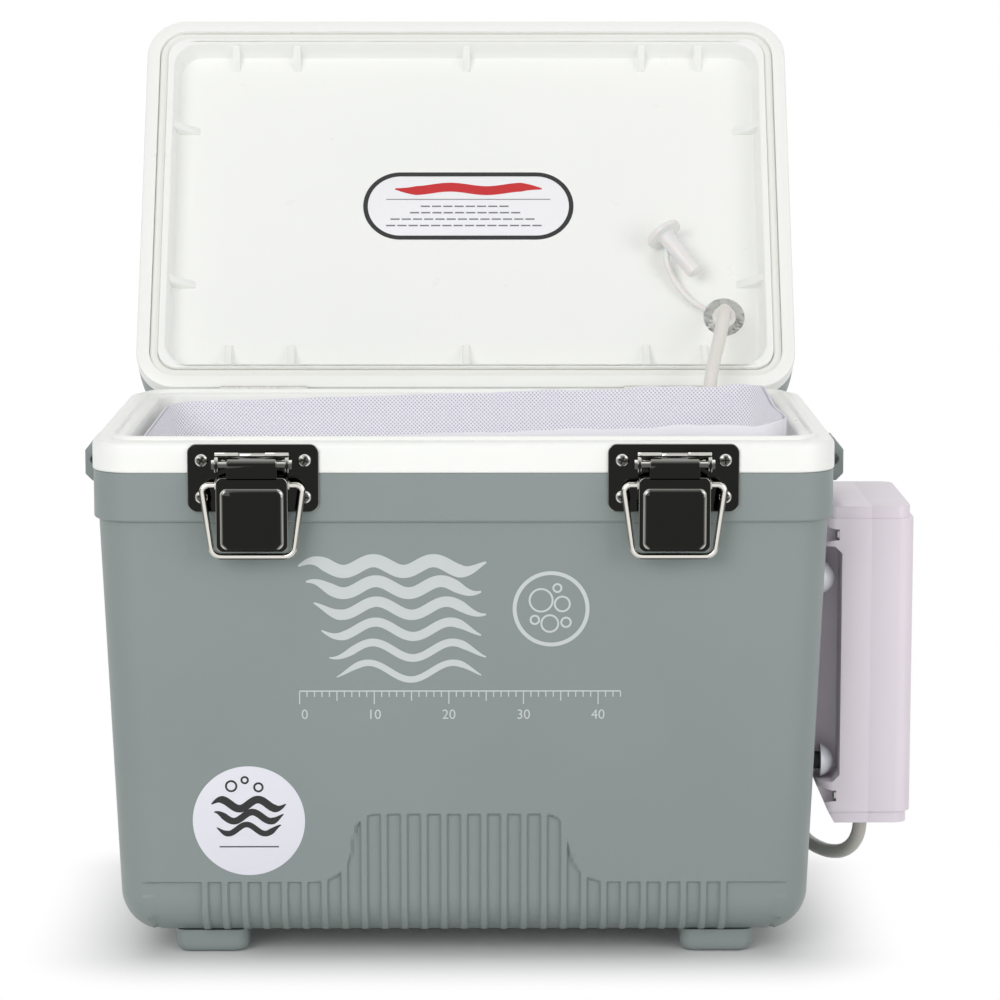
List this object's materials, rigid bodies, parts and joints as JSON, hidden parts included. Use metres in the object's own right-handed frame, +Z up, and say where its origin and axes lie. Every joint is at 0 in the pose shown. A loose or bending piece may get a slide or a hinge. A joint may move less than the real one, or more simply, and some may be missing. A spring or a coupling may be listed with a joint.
{
  "type": "aerated bait bucket",
  "caption": "Insulated rectangular live bait box with hinged lid, two draw latches, net bag and a battery air pump on its side.",
  "frame": {"origin": "centre of the box's footprint on the floor, under the feet", "axes": "+X to the right seen from the front, towards the pump; +Y to the back, towards the hinges; +Z up"},
  "size_m": [0.346, 0.3294, 0.3776],
  "materials": {
    "grey_plastic": "moulded, satin",
    "white_plastic": "moulded, smooth",
    "foam": "cast foam",
    "polished_steel": "polished",
    "steel": "plain",
    "sticker": "printed film",
    "black_plastic": "moulded",
    "stud_plastic": "moulded, smooth",
    "black_rubber": "moulded",
    "pump_plastic": "moulded, satin",
    "cell_jacket": "printed sleeve",
    "board": "solder mask",
    "hose": "silicone",
    "stone": "sintered grit",
    "net": "fine mesh",
    "gasket": "foam strip",
    "clear_silicone": "translucent silicone"
  },
  "bodies": {
    "box": {"outer_shell": "grey_plastic", "foam_core": "foam", "inner_liner": "white_plastic", "foot_front_left": "grey_plastic", "foot_front_right": "grey_plastic", "foot_rear_left": "grey_plastic", "foot_rear_right": "grey_plastic", "foot_screws": "steel", "strap_lug_left": "grey_plastic", "strap_lug_right": "grey_plastic", "strap_lug_screws": "steel", "latch_plate_left": "polished_steel", "latch_plate_right": "polished_steel", "latch_screws": "polished_steel", "lever_pins": "polished_steel", "hinge_body_leaf_left": "polished_steel", "hinge_body_leaf_right": "polished_steel", "hinge_pins": "steel", "hinge_body_screws": "polished_steel", "round_sticker": "sticker", "pump_bracket": "black_plastic", "pump_studs": "stud_plastic", "stud_bushes": "black_rubber", "pump_case_inner": "pump_plastic", "pump_case_outer": "pump_plastic", "pump_case_screws": "steel", "pump_case_seal": "black_rubber", "battery_upper": "cell_jacket", "battery_lower": "cell_jacket", "battery_contacts": "steel", "pump_motor": "steel", "air_head": "white_plastic", "diaphragm": "black_rubber", "circuit_board": "board", "air_hose_outer": "hose", "air_hose_inner": "hose", "airstone": "stone", "bait_net": "net"},
    "lid": {"lid_shell": "grey_plastic", "lid_foam": "foam", "lid_liner": "white_plastic", "lid_gasket": "gasket", "lid_label": "sticker", "port_grommet": "clear_silicone", "port_plug": "clear_silicone", "keeper_left": "polished_steel", "keeper_right": "polished_steel", "keeper_screws": "polished_steel", "hinge_lid_leaf_left": "polished_steel", "hinge_lid_leaf_right": "polished_steel", "hinge_lid_screws": "polished_steel"},
    "lever_left": {"latch_lever_left": "polished_steel"},
    "sleeve_left": {"bail_sleeve_left": "polished_steel"},
    "bail_left": {"latch_bail_left": "polished_steel"},
    "lever_right": {"latch_lever_right": "polished_steel"},
    "sleeve_right": {"bail_sleeve_right": "polished_steel"},
    "bail_right": {"latch_bail_right": "polished_steel"},
    "eccentric": {"motor_eccentric": "white_plastic"},
    "rod": {"diaphragm_rod": "white_plastic"},
    "switch": {"switch_knob": "black_plastic"}
  },
  "joints": [
    {"name": "lid_hinge", "type": "hinge", "parent": "box", "child": "lid", "pos_m": [0, 0.0974, 0.2128], "axis": [1, 0, 0], "range_deg": [0, 120], "deforming": ["air_hose_outer", "air_hose_inner"]},
    {"name": "latch_lever_left", "type": "hinge", "parent": "box", "child": "lever_left", "pos_m": [-0.0835, -0.1026, 0.2062], "axis": [-1, 0, 0], "range_deg": [0, 120]},
    {"name": "bail_sleeve_left", "type": "hinge", "parent": "lever_left", "child": "sleeve_left", "pos_m": [-0.0835, -0.101, 0.198], "axis": [-1, 0, 0], "range_deg": [-120, 0]},
    {"name": "latch_bail_left", "type": "hinge", "parent": "sleeve_left", "child": "bail_left", "pos_m": [-0.0835, -0.101, 0.198], "axis": [-1, 0, 0], "range_deg": [0, 193]},
    {"name": "latch_lever_right", "type": "hinge", "parent": "box", "child": "lever_right", "pos_m": [0.0835, -0.1026, 0.2062], "axis": [-1, 0, 0], "range_deg": [0, 120]},
    {"name": "bail_sleeve_right", "type": "hinge", "parent": "lever_right", "child": "sleeve_right", "pos_m": [0.0835, -0.101, 0.198], "axis": [-1, 0, 0], "range_deg": [-120, 0]},
    {"name": "latch_bail_right", "type": "hinge", "parent": "sleeve_right", "child": "bail_right", "pos_m": [0.0835, -0.101, 0.198], "axis": [-1, 0, 0], "range_deg": [0, 193]},
    {"name": "motor_spin", "type": "hinge", "parent": "box", "child": "eccentric", "pos_m": [0.168, -0.0135, 0.1187], "axis": [1, 0, 0], "continuous": true},
    {"name": "diaphragm_slide", "type": "slide", "parent": "box", "child": "rod", "axis": [0, 0, 1], "range_m": [-0.0015, 0.0015], "stiffness_N_per_m": 200, "deforming": ["diaphragm"]},
    {"name": "switch_slide", "type": "slide", "parent": "box", "child": "switch", "axis": [0, 0, -1], "range_m": [0, 0.005]}
  ],
  "couplings": [
    {"joint": "bail_sleeve_left", "follows": "latch_lever_left", "ratio": -1},
    {"joint": "bail_sleeve_right", "follows": "latch_lever_right", "ratio": -1}
  ]
}
